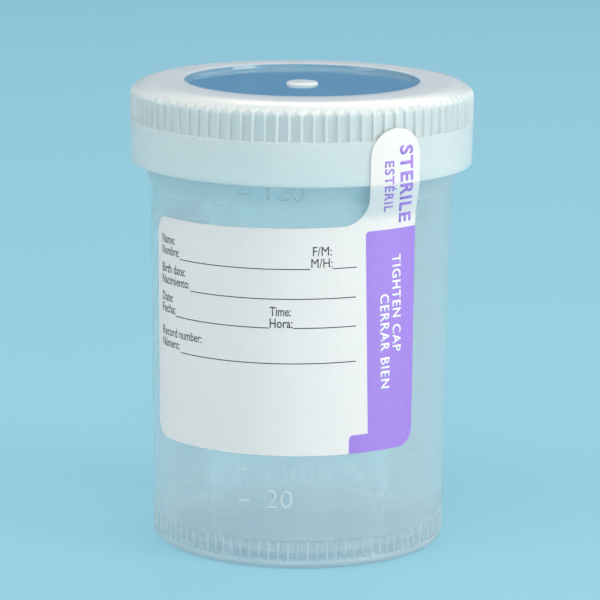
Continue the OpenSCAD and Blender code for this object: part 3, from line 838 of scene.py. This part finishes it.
def put(bm, x, y, degrees=0.0):
    """Turns a flat sheet about its origin and moves it to (x, y)."""
    bmesh.ops.transform(bm, matrix=Matrix.Translation((x, y, 0)) @ Matrix.Rotation(math.radians(degrees), 4, "Z"), verts=bm.verts)
    return bm


def merged(sheets):
    """Several flat sheets as one."""
    mesh = bpy.data.meshes.new("sheets")
    whole = bmesh.new()
    for bm in sheets:
        bm.to_mesh(mesh)
        whole.from_mesh(mesh)
        bm.free()
    bpy.data.meshes.remove(mesh)
    return whole


def cut(bm, across, at, keep=0):
    """Cuts a flat sheet along X = at or Y = at; keep 1 or -1 drops the other side."""
    normal = (1, 0, 0) if across == "X" else (0, 1, 0)
    point = (at, 0, 0) if across == "X" else (0, at, 0)
    bmesh.ops.bisect_plane(bm, geom=bm.verts[:] + bm.edges[:] + bm.faces[:], plane_co=point, plane_no=normal,
                           clear_inner=keep > 0, clear_outer=keep < 0, dist=1e-5)


def bend(name, bm, radius_at, lift, thickness, finish, edge_finish=None, levels=(), strip=STRIP):
    """Bends a flat sheet to radius_at(z) + lift and gives it a thickness."""
    low = min(v.co.x for v in bm.verts)
    high = max(v.co.x for v in bm.verts)
    for i in range(math.ceil(low / strip), math.floor(high / strip) + 1):
        cut(bm, "X", i * strip)
    for level in levels:
        cut(bm, "Y", level)
    bmesh.ops.triangulate(bm, faces=[f for f in bm.faces if len(f.verts) > 4])
    made = bmesh.ops.extrude_face_region(bm, geom=bm.faces[:])
    for v in made["geom"]:
        if isinstance(v, bmesh.types.BMVert):
            v.co.z = 1.0
    bmesh.ops.recalc_face_normals(bm, faces=bm.faces)
    for v in bm.verts:
        s, z, h = v.co
        h *= thickness
        r = radius_at(z)
        a = s / r
        v.co = Vector(((r + lift + h) * math.sin(a), -(r + lift + h) * math.cos(a), z)) * MM
    mesh = bpy.data.meshes.new(name)
    bm.to_mesh(mesh)
    bm.free()
    mesh.materials.append(finish)
    obj = bpy.data.objects.new(name, mesh)
    bpy.context.scene.collection.objects.link(obj)
    if edge_finish:
        mesh.materials.append(edge_finish)
        for face in mesh.polygons:
            x, y, z = face.center
            if abs(face.normal.dot(Vector((x, y, 0)).normalized())) < 0.5:
                face.material_index = 1
    return outward(obj)


print("bending helpers are ready")

# %% Numerals of the scale
NUMERAL_H = 3.2
THIN = -0.012
numerals = []
for column in COLUMNS:
    for step, value in enumerate(range(20, 121, 20)):
        height = SCALE_FIRST + SCALE_STEP * 2 * step - SCALE_SHRINK * 4 * step * step
        tall = NUMERAL_H if value < 120 else 2.8
        start = math.radians(column + 3.5) * outer_r(height)
        wide = 4.5 if value < 100 else 6.4
        numerals.append(put(flat_text(str(value), tall, wide, THIN), start, height - tall / 2 + 0.6))
        if value == 100 and column == COLUMNS[2]:
            numerals.append(put(flat_text("mL", tall, 3.8, THIN), start + wide + 1.0, height - tall / 2 + 0.6))
scale_numerals = bend("scale_numerals", merged(numerals), outer_r, -0.03, 0.17, raised_pp)
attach(scale_numerals, "cup_body")

# %% [markdown]
# ## The label and its sealing tab
# One piece of paper wraps round the front and sends a tab up over the cap. When the cap is
# first turned, the tab tears at the lower edge of the skirt. The paper is therefore two
# pieces that meet there: the panel with the lower half of the tab stays on the cup, and the
# head of the tab turns with the cap. Both are cut from flat outlines with round corners.
# The label was stuck on by machine and sits about a degree off level.

# %% Label outlines
TILT = 1.0
CORNER = 3.1
FILLET = 5.0
TAB_W = 9.9
TAB_R = TAB_W / 2
TAB_LEFT = 11.9
TAB_RIGHT = TAB_LEFT + TAB_W
TAB_TOP = SKIRT_Z + 9.7
TEAR_Z = SKIRT_Z - 0.02
LEFT_TOP = (-31.5, 59.2)
LEFT_LOW = (-31.1, 20.05)
RIGHT_LOW = 20.6        # height of the label's right lower corner
RIGHT_TOP = 60.1        # height of the label's upper edge next to the tab


def rounded(x, y, r, a0, steps=8):
    """A quarter circle about (x, y) from a0, turning clockwise."""
    return arc(x, y, r, r, a0, a0 - 90, steps)


panel_outline = (
    rounded(LEFT_TOP[0] + CORNER, LEFT_TOP[1] + 0.05 - CORNER, CORNER, 180)
    + list(reversed(arc(TAB_LEFT - FILLET, RIGHT_TOP + FILLET, FILLET, FILLET, 0, -90, 10)))
    + [(TAB_LEFT, TEAR_Z), (TAB_RIGHT, TEAR_Z)]
    + rounded(TAB_RIGHT - CORNER, RIGHT_LOW + CORNER, CORNER, 0)
    + rounded(LEFT_LOW[0] + CORNER, LEFT_LOW[1] + CORNER, CORNER, -90)
)
tab_outline = [(TAB_LEFT, SKIRT_Z)] + arc(TAB_LEFT + TAB_R, TAB_TOP - TAB_R, TAB_R, TAB_R, 180, 0, 24) + [(TAB_RIGHT, SKIRT_Z)]
bend_levels = [BEND_Z - 0.8 + 0.4 * i for i in range(5)] + [63.5, 65] + [SKIRT_Z - TURN + 0.175 * i for i in range(4)]
head_levels = [SKIRT_Z + 0.175 * i for i in range(1, 5)] + [70, 72, 74, GRIP_Z]
panel = bend("label_sheet", flat_outline(panel_outline), paper_r, 0, PAPER_T, paper, paper_edge, bend_levels)
tab = bend("sealing_tab", flat_outline(tab_outline), paper_r, 0, PAPER_T, paper, paper_edge, head_levels)
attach(panel, "cup_body")
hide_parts("label_panel")
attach(tab, "cap_body")
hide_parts("seal_tab")
for piece in (panel, tab):
    smooth(piece, 40)

# %% [markdown]
# ## The print
# Each ink is a sheet a hundredth of a millimetre thick that lies on the paper, so its edge
# stays sharp from any distance, which an ink painted by a texture would not. The label has
# the prompts and rules that are written on by hand, a violet band that says to tighten the
# cap, and the word for sterile on the tab, whose lower letters stay with the cup.

# %% Violet band
INK_T = 0.012
BAND_TOP = 59.1
BAND_LEFT = (11.3, 12.2)
FOOT_LEFT = 8.7
FOOT_TOP = 23.75
INSET = 0.02


def low_edge(x):
    """Height of the label's lower edge."""
    share = (x - LEFT_LOW[0] - CORNER) / (TAB_RIGHT - CORNER - LEFT_LOW[0] - CORNER)
    return LEFT_LOW[1] + (RIGHT_LOW - LEFT_LOW[1]) * share + INSET


band_outline = (
    rounded(BAND_LEFT[0] + 0.7, BAND_TOP - 0.7, 0.7, 180, 4)
    + [(TAB_RIGHT - INSET, BAND_TOP + 0.1)]
    + rounded(TAB_RIGHT - CORNER, RIGHT_LOW + CORNER, CORNER - INSET, 0)
    + [(FOOT_LEFT, low_edge(FOOT_LEFT))]
    + rounded(FOOT_LEFT + 0.8, FOOT_TOP - 0.8, 0.8, 180, 4)
    + [(BAND_LEFT[1], FOOT_TOP + 0.05)]
)
band = bend("violet_band", flat_outline(band_outline), paper_r, PAPER_T, INK_T, violet_ink)

# %% Lettering and rules
BOLD = 0.022
SPACED = 1.14
PLAIN = 0.007
RULE_W = 0.16
PROMPT_H = 1.55


def rule(x0, x1, y):
    """A thin line to write on, which follows the label's tilt."""
    dx = math.cos(math.radians(TILT)) * (x1 - x0)
    return put(flat_outline([(0, 0), (dx, 0), (dx, RULE_W), (0, RULE_W)]), x0, y, TILT)


prompts = [
    ("Name:", -29.5, 54.75, 4.4), ("Nombre:", -29.5, 52.75, 5.7), ("F/M:", 2.1, 55.25, 3.2), ("M/H:", 1.85, 53.2, 3.6),
    ("Birth date:", -29.5, 49.6, 7.4), ("Nacimiento:", -29.5, 47.6, 8.4),
    ("Date:", -29.4, 44.55, 3.7), ("Fecha:", -29.4, 42.55, 4.5), ("Time:", -5.1, 44.8, 3.6), ("Hora:", -5.1, 42.75, 3.9),
    ("Record number:", -29.3, 38.5, 11.2), ("Número:", -29.3, 36.5, 5.6),
]
rules = [(-23.6, 1.7, 52.45), (5.5, 9.7, 52.95), (-20.8, 9.65, 47.35), (-24.8, -5.2, 42.25), (-1.1, 9.75, 42.65), (-23.4, 9.75, 36.1)]
black = [put(flat_text(words, PROMPT_H, length, 0 if "M" in words else PLAIN), x, y, TILT) for words, x, y, length in prompts]
black += [rule(*line) for line in rules]
label_print = bend("label_print", merged(black), paper_r, PAPER_T, INK_T, black_ink)

DOWN = -90 + 1.5        # the upright lines read downwards
white = [
    put(flat_text("TIGHTEN CAP", 1.74, 17.0, BOLD, SPACED), 16.6, 54.6, DOWN),
    put(flat_text("CERRAR BIEN", 1.74, 16.6, BOLD, SPACED), 14.25, 47.95, DOWN),
]
band_print = bend("band_print", merged(white), paper_r, PAPER_T + INK_T, INK_T, white_ink)


def tab_words():
    """The two upright words on the tab, as one flat sheet."""
    return merged([
        put(flat_text("STERILE", 2.5, 13.9, 0.03, SPACED), 17.5, 74.0, -90 + 2.0),
        put(flat_text("ESTÉRIL", 1.7, 9.2, 0.022, SPACED), 14.55, 71.5, -90 + 1.0)])


low_words = tab_words()
cut(low_words, "Y", TEAR_Z, keep=-1)
high_words = tab_words()
cut(high_words, "Y", SKIRT_Z, keep=1)
print_low = bend("tab_print_low", low_words, paper_r, PAPER_T, INK_T, violet_ink, levels=bend_levels)
print_high = bend("tab_print_high", high_words, paper_r, PAPER_T, INK_T, violet_ink, levels=head_levels)
for piece, body in ((band, "cup_body"), (label_print, "cup_body"), (band_print, "cup_body"), (print_low, "cup_body"),
                    (print_high, "cap_body")):
    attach(piece, body)

# %% [markdown]
# ## The sealing disc
# The disc of foam under the ceiling is loose in the cap and is pressed on the rim. Its
# shape is the frame's own, which is already right, so it only gets its material.

# %% The sealing disc
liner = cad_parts["liner"]
liner.data.materials.clear()
liner.data.materials.append(foam)
print("sealing disc carries", liner.data.materials[0].name)
